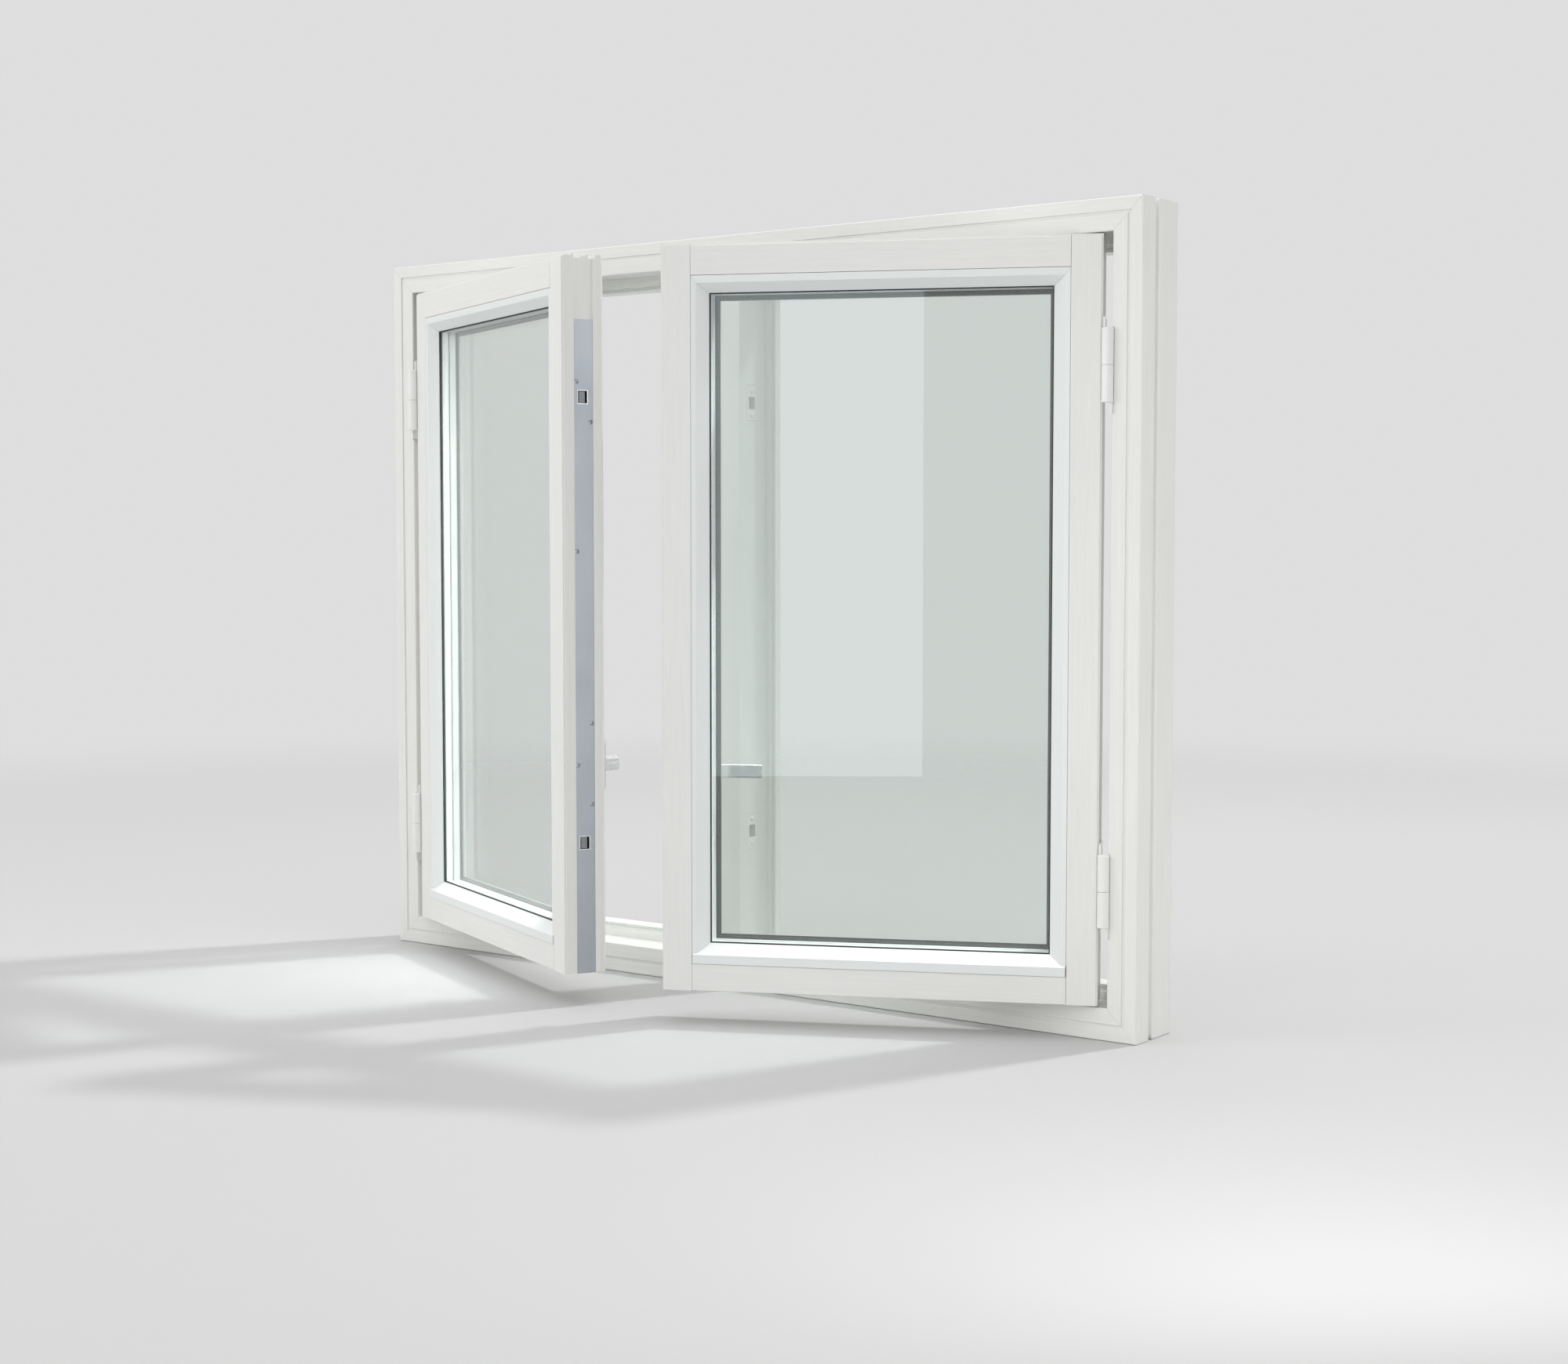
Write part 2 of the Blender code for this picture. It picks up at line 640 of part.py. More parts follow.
def bottom_bead_top(depth):
    """Height of the bottom bead's slope at a depth."""
    start = nose_base() + NOSE
    slope = (SASH_BOTTOM + BEAD_INNER - start) / (BEAD_BACK + NOSE_PROUD)
    return start + slope * (depth + NOSE_PROUD)


def bead_bottom(sash):
    """Sloping bottom bead, with a nose in front and a drip groove under it."""
    base = nose_base()
    section = eased([
        (base, -NOSE_PROUD, NOSE_EASE), (base + NOSE, -NOSE_PROUD, NOSE_EASE),
        (bottom_bead_top(BEAD_BACK), BEAD_BACK), (base, BEAD_BACK),
        *((base + rise, depth) for depth, rise in NOSE_GROOVE),
    ])
    start, end = MEMBER_FACE + BEAD_START, SASH_W - MEMBER_FACE - BEAD_START
    name = f"{sash.side}_bead_bottom"
    return sash.crosswise(name, section, lambda z, d: start, lambda z, d: end, bead_paint())


def bead_section(strip):
    """Section of a side or top bead, as (distance from the sash's edge, depth)."""
    seat = MEMBER_FACE + JOINT_GAP
    ease = TIMBER_EASE
    return eased((
        (seat, BEAD_SUNK[0], ease / 3), (MEMBER_FACE + strip, BEAD_SUNK[1], ease),
        (BEAD_INNER, BEAD_BACK - BEAD_LIP, ease / 3), (BEAD_INNER, BEAD_BACK), (seat, BEAD_BACK),
    ))


def bead_side(sash, which):
    section = bead_section(BEAD_STRIP)
    gap = JOINT_GAP

    def inset(across):
        return SASH_W - across if which == "meeting" else across

    def foot(across, depth):
        return bottom_bead_top(depth) + gap

    def head(across, depth):
        return SASH_TOP - mitre_drop(inset(across)) - gap / 2

    placed = [(inset(a), d) for a, d in section]
    return sash.upright(f"{sash.side}_bead_{which}", placed, foot, head, bead_paint())


def mitre_drop(inset):
    """Distance below the sash's top at which a side bead's point meets the top bead."""
    side_edge = MEMBER_FACE + BEAD_STRIP
    top_edge = MEMBER_FACE + TOP_BEAD_STRIP
    if inset <= side_edge:
        return MEMBER_FACE + (inset - MEMBER_FACE) * TOP_BEAD_STRIP / BEAD_STRIP
    return top_edge + (inset - side_edge) * (BEAD_INNER - top_edge) / (BEAD_INNER - side_edge)


def bead_top(sash):
    """Top bead, mitred to the side beads along the line where both sections meet."""
    first, last = [], []
    for inset, depth in bead_section(BEAD_STRIP):
        z = SASH_TOP - mitre_drop(inset)
        start = inset + JOINT_GAP / 2
        first.append((sash.x(start), sash.y(depth), z))
        last.append((sash.x(SASH_W - start), sash.y(depth), z))
    return loft(f"{sash.side}_bead_top", first, last, bead_paint(), parent=sash.axis)


def frame_ring(sash, name, outer, inner, depths, skin):
    """A rectangular ring parallel to the glass, between two insets from the sash's outer edges."""
    bm = bmesh.new()
    loops = []
    for inset, depth in ((outer, depths[0]), (outer, depths[1]), (inner, depths[1]), (inner, depths[0])):
        corners = (
            (inset, SASH_BOTTOM + inset), (SASH_W - inset, SASH_BOTTOM + inset),
            (SASH_W - inset, SASH_TOP - inset), (inset, SASH_TOP - inset),
        )
        loops.append([bm.verts.new((sash.x(a), sash.y(depth), z)) for a, z in corners])
    for one, other in zip(loops, loops[1:] + loops[:1]):
        for i in range(4):
            j = (i + 1) % 4
            bm.faces.new((one[i], one[j], other[j], other[i]))
    return finish(name, bm, skin, (0, 0, 0), sash.axis)


def glass_unit(sash):
    gap = JOINT_GAP
    across = (GLASS_EDGE, SASH_W - GLASS_EDGE)
    height = (SASH_BOTTOM + GLASS_EDGE, SASH_TOP - GLASS_EDGE)
    front = GLASS_FRONT
    for name in ("outer", "middle", "inner"):
        sash.box(f"{sash.side}_pane_{name}", across, (front, front + PANE_T), height, glass())
        if name != "inner":
            label = f"{sash.side}_spacer_{'outer' if name == 'outer' else 'inner'}"
            depths = (front + PANE_T + gap, front + PANE_T + CAVITY - gap)
            frame_ring(sash, label, SPACER_OUTER, SPACER_INNER, depths, spacer_metal())
        front += PANE_T + CAVITY
    depths = (BEAD_BACK + gap, GLASS_FRONT - gap)
    frame_ring(sash, f"{sash.side}_gasket_outer", GASKET_OUTER, GASKET_INNER, depths, rubber())


# ---- espagnolette ----

def pocket_cutter(sash, name, reach, depth, height):
    """A pocket sunk from the meeting stile's edge."""
    across = (SASH_W - reach[1], SASH_W - reach[0])
    return sash.box(f"cut_{sash.side}_{name}", across, depth, height, paint())


def machine_stile(sash, piece):
    """The rod's slot, the pockets for the bolts and the gearbox, and the spindle's hole."""
    start = CHANNEL[2] - OVERCUT
    low, high, deep = ROD_SLOT
    boolean(piece, pocket_cutter(sash, "rod_slot", (start, deep), (low, high), ROD_SLOT_SPAN))
    half = BOLT_SECTION[0] / 2 + BOLT_ROOM[0]
    rise = BOLT_SECTION[1] / 2 + BOLT_ROOM[1]
    depths = (LOCK_MID - half, LOCK_MID + half)
    reach = (start, BOLT_RETRACTED + BOLT_LENGTH + BOLT_ROOM[2])
    for level, z in BOLT_HEIGHTS.items():
        boolean(piece, pocket_cutter(sash, f"{level}_bolt_pocket", reach, depths, (z - rise, z + rise)))
    half = CASE_T / 2 + CASE_ROOM[0]
    rise = CASE_HALF_H + CASE_ROOM[1]
    depths = (LOCK_MID - half, LOCK_MID + half)
    heights = (HANDLE_HEIGHT - rise, HANDLE_HEIGHT + rise)
    reach = (start, CASE_REACH[1] + CASE_ROOM[1])
    boolean(piece, pocket_cutter(sash, "gearbox_pocket", reach, depths, heights))
    radius = SPINDLE_HOLE_R + SPINDLE_ROOM
    span = sash.ys(LOCK_MID, SASH_T + OVERCUT)
    boolean(piece, spindle_cutter(sash, f"cut_{sash.side}_spindle_hole", span, radius))


def spindle_cutter(sash, name, span, radius):
    """A round hole through to the spindle, between two depths."""
    centre = (sash.x(SASH_W - BACKSET), HANDLE_HEIGHT)
    return rod(name, centre, 1, span, radius, paint(), 24, parent=sash.axis)


def faceplate(sash):
    middle = (CHANNEL[0] + CHANNEL[1]) / 2
    outer = SASH_W - CHANNEL[2] + JOINT_GAP + PLATE_T
    across = (outer - PLATE_T, outer)
    plate = sash.box(f"{sash.side}_faceplate", across, (middle - PLATE_W / 2, middle + PLATE_W / 2),
                     (SASH_BOTTOM, PLATE_TOP), plate_steel())
    through = (outer - PLATE_T - OVERCUT, outer + OVERCUT)
    half_d, half_z = BOLT_WINDOW[0] / 2, BOLT_WINDOW[1] / 2
    depths = (LOCK_MID - half_d, LOCK_MID + half_d)
    for level, z in BOLT_HEIGHTS.items():
        name = f"cut_{sash.side}_{level}_window"
        boolean(plate, sash.box(name, through, depths, (z - half_z, z + half_z), plate_steel()))
    for number, (depth, z) in enumerate(SCREWS):
        name = f"cut_{sash.side}_screw_{number}"
        hole = rod(name, (sash.y(depth), z), 0, sash.xs(*through), SCREW_HOLE_R, plate_steel(), 16,
                   parent=sash.axis)
        boolean(plate, hole)
    return plate


def gearbox(sash):
    across = (SASH_W - CASE_REACH[1], SASH_W - CASE_REACH[0])
    depths = (LOCK_MID - CASE_T / 2, LOCK_MID + CASE_T / 2)
    heights = (HANDLE_HEIGHT - CASE_HALF_H, HANDLE_HEIGHT + CASE_HALF_H)
    case = sash.box(f"{sash.side}_gearbox", across, depths, heights, lock_steel())
    span = sash.ys(LOCK_MID - CASE_T, LOCK_MID + CASE_T)
    boolean(case, spindle_cutter(sash, f"cut_{sash.side}_gearbox_hole", span, SPINDLE_HOLE_R))
    return case


def drive_rod(sash):
    across = (SASH_W - ROD_REACH[1], SASH_W - ROD_REACH[0])
    return sash.box(f"{sash.side}_drive_rod", across, ROD_DEPTH, ROD_SPAN, lock_steel())


def bolt(sash, level, z):
    """A sliding bolt with its leading corners taken off."""
    tip = SASH_W - BOLT_RETRACTED
    tail = tip - BOLT_LENGTH
    shoulder = tip - BOLT_TAPER
    half_z = BOLT_SECTION[1] / 2
    near, far = LOCK_MID - BOLT_SECTION[0] / 2, LOCK_MID + BOLT_SECTION[0] / 2
    plan = (
        (tail, near), (shoulder, near), (tip, near + BOLT_TAPER),
        (tip, far - BOLT_TAPER), (shoulder, far), (tail, far),
    )
    name = f"{sash.side}_bolt_{level}"
    return sash.upright(name, plan, lambda a, d: z - half_z, lambda a, d: z + half_z, lock_steel())


# ---- handle ----

def soft_edges(piece, width, above_angle):
    """Rounds the edges of a piece whose faces meet at more than an angle, in degrees."""
    bevel = piece.modifiers.new("soft_edge", "BEVEL")
    bevel.width = width
    bevel.segments = 3
    bevel.limit_method = "ANGLE"
    bevel.angle_limit = math.radians(above_angle)


def rose(sash):
    wide, high, thick = ROSE
    left, right = SASH_W - BACKSET - wide / 2, SASH_W - BACKSET + wide / 2
    low, top = HANDLE_HEIGHT - high / 2, HANDLE_HEIGHT + high / 2
    radius = ROSE_CORNER
    outline = eased(((left, low, radius), (right, low, radius), (right, top, radius), (left, top, radius)), 5)
    back = SASH_T + JOINT_GAP
    rings = []
    for depth in (back, back + thick):
        rings.append([(sash.x(a), sash.y(depth), z) for a, z in outline])
    plate = loft(f"{sash.side}_handle_rose", rings[0], rings[1], handle_metal(), parent=sash.axis)
    soft_edges(plate, ROSE_EASE, 60)
    span = sash.ys(back - OVERCUT, back + thick + OVERCUT)
    boolean(plate, spindle_cutter(sash, f"cut_{sash.side}_rose_hole", span, SPINDLE_HOLE_R + SPINDLE_ROOM))
    smooth(plate)
    return plate


def handle_axis(sash):
    """The empty that the handle turns with, at the spindle."""
    empty = bpy.data.objects.new(f"{sash.side}_handle_axis", None)
    empty.empty_display_size = 0.02
    empty.location = (sash.x(SASH_W - BACKSET), sash.y(SASH_T), HANDLE_HEIGHT)
    empty.parent = sash.axis
    bpy.context.scene.collection.objects.link(empty)
    return empty


def handle(sash):
    """Neck, lever and square spindle in one casting; the lever points to the hinge side when unlocked."""
    axis = handle_axis(sash)
    name = f"{sash.side}_handle"
    neck_start = ROSE[2] + 2 * JOINT_GAP
    piece = rod(name, (0, 0), 1, (neck_start, PROJECTION), NECK_R, handle_metal(), 40, parent=axis)
    half = LEVER_H / 2
    outer = PROJECTION - OVERCUT
    plan = eased((
        (0, LEVER_ROOT), (LEVER_LENGTH, LEVER_ROOT + LEVER_RISE, LEVER_RISE / 2),
        (LEVER_LENGTH, outer, LEVER_RISE), (0, outer),
    ), 4)
    rings = []
    for edge in (-half, half):
        rings.append([(sash.sign * x, y, edge) for x, y in plan])
    lever = loft(f"add_{name}_lever", rings[0], rings[1], handle_metal(), parent=axis)
    soft_edges(lever, LEVER_EASE, 50)
    boolean(piece, lever, "UNION")
    side = (-SPINDLE / 2, SPINDLE / 2)
    reach = (LOCK_MID - CASE_T / 2 + OVERCUT - SASH_T, neck_start + OVERCUT)
    spindle = box(f"add_{name}_spindle", side, reach, side, handle_metal(), parent=axis)
    boolean(piece, spindle, "UNION")
    smooth(piece)
    return piece


def build_frame():
    for side in ("head", "sill", "left", "right"):
        name = f"frame_jamb_{side}" if side in SIDES else f"frame_{side}"
        member = frame_member(name, side)
        if side in SIDES:
            for level, seam in HINGE_HEIGHTS.items():
                notch_jamb(member, level, SIDES[side], seam)
    mullion()
    for side, sign in SIDES.items():
        for level, z in BOLT_HEIGHTS.items():
            keeper(f"{side}_{level}", sign, z)
        for level, seam in HINGE_HEIGHTS.items():
            hinge_frame_leaf(side, level, seam)


def notch_stile(sash, piece):
    """Room in the hinge stile's front edge for the barrels."""
    for level, seam in HINGE_HEIGHTS.items():
        span = (seam - BARREL_HALF - NOTCH_END, seam + BARREL_HALF + NOTCH_END)
        name = f"cut_{sash.side}_{level}_stile_notch"
        boolean(piece, rod(name, (0, 0), 2, span, NOTCH_R, paint(), parent=sash.axis))


def build_sash(side):
    sash = Sash(side)
    notch_stile(sash, stile(sash, "hinge"))
    machine_stile(sash, stile(sash, "meeting"))
    rail_top(sash)
    rail_bottom(sash)
    bead_top(sash)
    bead_bottom(sash)
    bead_side(sash, "hinge")
    bead_side(sash, "meeting")
    glass_unit(sash)
    faceplate(sash)
    gearbox(sash)
    drive_rod(sash)
    for level, z in BOLT_HEIGHTS.items():
        bolt(sash, level, z)
    for level, seam in HINGE_HEIGHTS.items():
        hinge_sash_leaf(side, level, seam, sash.axis)
    rose(sash)
    handle(sash)


def main():
    clear_scene()
    build_frame()
    for side in SIDES:
        build_sash(side)
    bpy.context.view_layer.update()


main()
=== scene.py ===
"""Looks for the two-light casement window: painted timber, triple glazing, metalwork and small trim.

Metres, in the CAD model's frame: X to the right seen from outside, +Y into the building, +Z up.
"""

import math

import bmesh
import bpy
from mathutils import Matrix, Vector


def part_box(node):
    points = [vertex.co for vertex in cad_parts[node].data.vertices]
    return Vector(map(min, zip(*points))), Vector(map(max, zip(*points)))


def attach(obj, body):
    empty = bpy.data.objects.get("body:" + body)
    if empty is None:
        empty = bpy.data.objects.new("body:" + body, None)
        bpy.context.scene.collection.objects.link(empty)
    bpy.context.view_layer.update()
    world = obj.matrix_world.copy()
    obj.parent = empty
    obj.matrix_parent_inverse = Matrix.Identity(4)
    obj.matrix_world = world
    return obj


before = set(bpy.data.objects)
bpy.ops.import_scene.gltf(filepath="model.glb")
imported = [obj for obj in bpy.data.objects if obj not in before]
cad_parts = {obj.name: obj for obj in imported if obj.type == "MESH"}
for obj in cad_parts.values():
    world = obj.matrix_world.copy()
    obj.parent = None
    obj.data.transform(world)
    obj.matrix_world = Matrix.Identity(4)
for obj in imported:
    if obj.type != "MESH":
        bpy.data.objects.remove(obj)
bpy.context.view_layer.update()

# The CAD model's sizes that the trim follows
SIDES = {"left": -1, "right": 1}
LEVELS = ("upper", "lower")
OPEN_ANGLE = math.radians(25.0)
FRAME_W, FRAME_H, FRAME_D = 1.218, 0.988, 0.0885
SEAL_SLOT = (0.0503, 0.0533)         # weatherstrip kerf, from the frame's outer edge
MULLION_SEAL_SLOT = (0.0353, 0.0383)  # the same, from the mullion's middle
STOP_DEPTH = 0.060
AXIS_EDGE, AXIS_DEPTH = 0.0423, -0.0040
SASH_EDGE, SASH_FRONT = 0.0482, -0.0007
SASH_W, SASH_BOTTOM, SASH_TOP = 0.5303, 0.0410, 0.9470
TAPE_DEPTHS = (0.0482, 0.0494)       # between the inner pane and the sash's inside lip
TAPE_INSETS = (0.0500, 0.0639)
PLATE_FACE = SASH_W - 0.0004         # outer face of the faceplate
SCREWS = (
    (0.0192, 0.7900), (0.0385, 0.7400), (0.0192, 0.5775),
    (0.0385, 0.3600), (0.0192, 0.3070), (0.0385, 0.2570),
)
MULLION_FACE = 0.0263
KEEPER_SCREW_RISE = 0.0160
HINGE_HEIGHTS = (0.7948, 0.1783)     # the barrels' seams
BARREL_R, BARREL_HALF = 0.0071, 0.0438
BOLT_HEIGHTS = (0.7710, 0.2080)
BOLT_WINDOW = (0.0134, 0.0164)       # across the plate, high
LOCK_MID = 0.0281                    # depth of the bolts

# The trim's own sizes
SEAL_SLACK = 0.0003                  # between the weatherstrip's stem and its kerf
SEAL_ROOT = 0.0040                   # how deep the stem goes behind the stop's face
SEAL_SUNK = 0.0002                   # the head's springing line, in front of the stop's face
SEAL_FLAT = 0.5                      # how far the head is pressed, as a share of its round height
TAPE_BULGE = 0.0003
HEAD_PROFILE = ((1.0, 0.15), (0.93, 0.45), (0.78, 0.75))   # screw head: share of radius, of rise
HEAD_SUNK = 0.0006                   # how deep a head starts below its seat
HEAD_SIDES = 32
RECESS = (0.55, 0.13, 0.7, 0.0009)   # cross recess: arm, half width and taper as shares, then its depth
PLATE_SCREW = (0.00275, 0.0006)      # radius, rise
PLATE_SCREW_SUNK = 0.0009            # the seat, below the faceplate's outer face
PLATE_SCREW_TURN = 37.0              # degrees from one recess to the next
KEEPER_SCREW = (0.0031, 0.0011)      # the same
KEEPER_SCREW_PROUD = 0.0003          # the seat, above the mullion's face
KEEPER_SCREW_TURNS = {"top": 20.0, "bottom": 65.0}
RIM_WIDTH, RIM_PROUD = 0.0009, 0.0002
RIM_CREST = 0.6                      # share of the width where the rim is highest
RIM_LINING = 0.0020                  # how far the rim lines the window
RIM_SKIN = (0.00005, 0.0001, 0.0004)   # over the plate, past the window's edge, at the lining
CAP_SKIRT = 0.0034                   # how far a cap comes down over its barrel
CAP_OVERHANG, CAP_WALL = 0.00022, 0.0006   # skirt outside and inside the barrel's radius
CAP_DOME = 0.0002                    # rise of the dome past the barrel's end
CAP_EDGE = 0.55                      # share of the rise where the dome starts
CAP_TURNS = (0.5, 0.9, 1.25)         # radians up the dome
CAP_SIDES = 48


# ---- materials ----

# Noise scales, in cycles a metre. A pair is across the grain or brushing, then along it.
PAINT_STREAKS, PAINT_PORES, PAINT_CLOUDS = (300.0, 9.0), (1100.0, 45.0), 7.0
BRUSH_LINES, METAL_CLOUDS = (1500.0, 25.0), 18.0
GLASS_WAVES = 3.0
RUBBER_GRIT = 900.0

PAINT = (0.83, 0.83, 0.805)
GLASS_TINT = (0.932, 0.955, 0.943)      # what one surface lets through to the eye
GLASS_SHADE = (0.990, 0.998, 0.995)     # what one surface lets through to a lamp


def new_material(name):
    """A new material, its node tree and its Principled shader."""
    made = bpy.data.materials.new(name)
    made.use_nodes = True
    tree = made.node_tree
    return made, tree, tree.nodes["Principled BSDF"]


def add(tree, kind, **settings):
    """A new shader node with some of its properties set."""
    node = tree.nodes.new(kind)
    for key, value in settings.items():
        setattr(node, key, value)
    return node


def along_axis(scales, axis):
    """The three scales of a pattern that runs along one axis, from its scales across and along."""
    across, along = scales
    return [along if i == axis else across for i in range(3)]


def stretched_noise(tree, turn, scales, detail=2.0, roughness=0.55):
    """Noise in object space, turned about Z and stretched to its own scale along each axis."""
    coords = add(tree, "ShaderNodeTexCoord")
    turned = add(tree, "ShaderNodeMapping", vector_type="POINT")
    turned.inputs["Rotation"].default_value = (0, 0, -turn)
    sized = add(tree, "ShaderNodeMapping", vector_type="POINT")
    sized.inputs["Scale"].default_value = scales
    noise = add(tree, "ShaderNodeTexNoise")
    noise.inputs["Scale"].default_value = 1.0
    noise.inputs["Detail"].default_value = detail
    noise.inputs["Roughness"].default_value = roughness
    tree.links.new(coords.outputs["Object"], turned.inputs["Vector"])
    tree.links.new(turned.outputs["Vector"], sized.inputs["Vector"])
    tree.links.new(sized.outputs["Vector"], noise.inputs["Vector"])
    return noise.outputs["Fac"]


def mapped(tree, value, low, high, start=0.3, end=0.7):
    """A value brought from its own range to another."""
    node = add(tree, "ShaderNodeMapRange")
    node.inputs["From Min"].default_value = start
    node.inputs["From Max"].default_value = end
    node.inputs["To Min"].default_value = low
    node.inputs["To Max"].default_value = high
    tree.links.new(value, node.inputs["Value"])
    return node.outputs["Result"]


def combined(tree, operation, first, second):
    """The result of a Math node on two values, each a number or a socket."""
    node = add(tree, "ShaderNodeMath", operation=operation)
    for socket, value in zip(node.inputs, (first, second)):
        if isinstance(value, (int, float)):
            socket.default_value = value
        else:
            tree.links.new(value, socket)
    return node.outputs["Value"]


def tinted(tree, shade, color):
    """A colour made lighter and darker by a shade value around 1."""
    node = add(tree, "ShaderNodeVectorMath", operation="SCALE")
    node.inputs[0].default_value = color
    tree.links.new(shade, node.inputs["Scale"])
    return node.outputs["Vector"]


def bump(tree, shader, height, distance, strength):
    """Gives a shader relief from a height value."""
    node = add(tree, "ShaderNodeBump")
    node.inputs["Distance"].default_value = distance
    node.inputs["Strength"].default_value = strength
    tree.links.new(height, node.inputs["Height"])
    tree.links.new(node.outputs["Normal"], shader.inputs["Normal"])


def timber_paint(name, turn, along):
    """Satin white paint over timber: the grain shows through along the piece's length."""
    made, tree, shader = new_material(name)
    streaks = stretched_noise(tree, turn, along_axis(PAINT_STREAKS, along), 3.0)
    pores = stretched_noise(tree, turn, along_axis(PAINT_PORES, along), 2.0)
    clouds = stretched_noise(tree, turn, (PAINT_CLOUDS,) * 3, 2.0)
    fine = combined(tree, "ADD", mapped(tree, streaks, -0.022, 0.022), mapped(tree, pores, -0.012, 0.012))
    shade = combined(tree, "ADD", fine, mapped(tree, clouds, 0.990, 1.008))
    tree.links.new(tinted(tree, shade, PAINT), shader.inputs["Base Color"])
    tree.links.new(mapped(tree, streaks, 0.34, 0.46), shader.inputs["Roughness"])
    strong, weak = combined(tree, "MULTIPLY", streaks, 0.7), combined(tree, "MULTIPLY", pores, 0.3)
    bump(tree, shader, combined(tree, "ADD", strong, weak), 0.00035, 0.45)
    shader.inputs["Specular IOR Level"].default_value = 0.45
    return made


def powder_coat(name, color, roughness, ripple_size):
    """Powder coat on metal, with the fine ripple that such a coat has."""
    made, tree, shader = new_material(name)
    ripple = stretched_noise(tree, 0.0, (1 / ripple_size,) * 3, 1.0)
    tree.links.new(tinted(tree, mapped(tree, ripple, 0.985, 1.015), color), shader.inputs["Base Color"])
    tree.links.new(mapped(tree, ripple, roughness - 0.04, roughness + 0.04), shader.inputs["Roughness"])
    bump(tree, shader, ripple, 0.00012, 0.3)
    return made


def pane_glass(name):
    """Clear float glass with a slight green tint. Lamps shine through it as through a tinted sheet."""
    made, tree, shader = new_material(name)
    waves = stretched_noise(tree, 0.0, (GLASS_WAVES,) * 3, 1.0)
    tree.links.new(tinted(tree, mapped(tree, waves, 0.999, 1.0), GLASS_TINT), shader.inputs["Base Color"])
    shader.inputs["Roughness"].default_value = 0.0
    shader.inputs["IOR"].default_value = 1.5
    shader.inputs["Transmission Weight"].default_value = 1.0
    clear = add(tree, "ShaderNodeBsdfTransparent")
    clear.inputs["Color"].default_value = (*GLASS_SHADE, 1.0)
    path = add(tree, "ShaderNodeLightPath")
    mix = add(tree, "ShaderNodeMixShader")
    tree.links.new(path.outputs["Is Shadow Ray"], mix.inputs[0])
    tree.links.new(shader.outputs["BSDF"], mix.inputs[1])
    tree.links.new(clear.outputs["BSDF"], mix.inputs[2])
    tree.links.new(mix.outputs["Shader"], tree.nodes["Material Output"].inputs["Surface"])
    return made


def brushed(name, color, roughness, turn, along, metallic=1.0, depth=0.35):
    """Metal with fine lengthwise brushing and a little cloudiness."""
    made, tree, shader = new_material(name)
    strokes = stretched_noise(tree, turn, along_axis(BRUSH_LINES, along), 2.0)
    clouds = stretched_noise(tree, turn, (METAL_CLOUDS,) * 3, 3.0)
    shade = combined(tree, "ADD", mapped(tree, strokes, -0.03, 0.03), mapped(tree, clouds, 0.97, 1.03))
    tree.links.new(tinted(tree, shade, color), shader.inputs["Base Color"])
    patches = mapped(tree, clouds, roughness - 0.03, roughness + 0.03)
    rough = combined(tree, "ADD", mapped(tree, strokes, -0.04, 0.04), patches)
    tree.links.new(rough, shader.inputs["Roughness"])
    shader.inputs["Metallic"].default_value = metallic
    bump(tree, shader, strokes, 0.00008, depth)
    return made


def rubber(name, color, roughness):
    """Moulded rubber or foam tape with a matt, slightly mottled skin."""
    made, tree, shader = new_material(name)
    grit = stretched_noise(tree, 0.0, (RUBBER_GRIT,) * 3, 2.0)
    tree.links.new(tinted(tree, mapped(tree, grit, 0.85, 1.15), color), shader.inputs["Base Color"])
    tree.links.new(mapped(tree, grit, roughness - 0.06, roughness + 0.06), shader.inputs["Roughness"])
    bump(tree, shader, grit, 0.00010, 0.3)
    return made


UP, LEVEL = 2, 0
PAINTS = {}
for part, turn in (("frame", 0.0), ("left", -OPEN_ANGLE), ("right", OPEN_ANGLE)):
    PAINTS[part, UP] = timber_paint(f"paint_{part}_upright", turn, UP)
    PAINTS[part, LEVEL] = timber_paint(f"paint_{part}_level", turn, LEVEL)
HINGE_COAT = powder_coat("hinge_coat", (0.87, 0.87, 0.86), 0.20, 0.0024)
BEAD_COAT = powder_coat("bead_coat", (0.82, 0.848, 0.84), 0.34, 0.0011)
GLASS = pane_glass("glass_clear")
PLATE = {side: brushed(f"plate_zinc_{side}", (0.52, 0.55, 0.59), 0.36, SIDES[side] * OPEN_ANGLE, UP)
         for side in SIDES}
LOCK = brushed("lock_zinc", (0.30, 0.31, 0.32), 0.30, 0.0, UP)
RIM = brushed("rim_zinc", (0.86, 0.88, 0.90), 0.24, 0.0, UP)
HANDLE = brushed("handle_satin", (0.86, 0.87, 0.87), 0.26, 0.0, LEVEL, depth=0.2)
# Spacer: near-white and greenish, lighter than bare aluminium. This is painted light: it stands in for the
# light that reaches the glazing cavity through the green panes, which gets little light in the render.
SPACER_PAINTED_LIGHT = brushed("spacer_aluminium_painted_light", (0.92, 0.965, 0.95), 0.45, 0.0, UP, metallic=0.05)
GASKET = rubber("gasket_black", (0.016, 0.018, 0.018), 0.55)
SEAL = rubber("seal_pale", (0.74, 0.75, 0.73), 0.50)
SCREW = brushed("screw_zinc", (0.50, 0.52, 0.55), 0.30, 0.0, LEVEL)


def material_of(node):
    """The finish of a CAD node, from its name."""
    part = "left" if node.startswith("left") else "right" if node.startswith("right") else "frame"
    if node.startswith(("hinge", "keeper")):
        return HINGE_COAT
    for word, finish in (
        ("faceplate", PLATE.get(part)), ("bead", BEAD_COAT), ("pane", GLASS), ("spacer", SPACER_PAINTED_LIGHT),
        ("gasket", GASKET), ("handle", HANDLE), ("bolt", LOCK), ("rod", LOCK), ("gearbox", LOCK),
    ):
        if word in node:
            return finish
    upright = any(word in node for word in ("stile", "jamb", "mullion"))
    return PAINTS[part, UP if upright else LEVEL]


for name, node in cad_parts.items():
    node.data.materials.clear()
    node.data.materials.append(material_of(name))


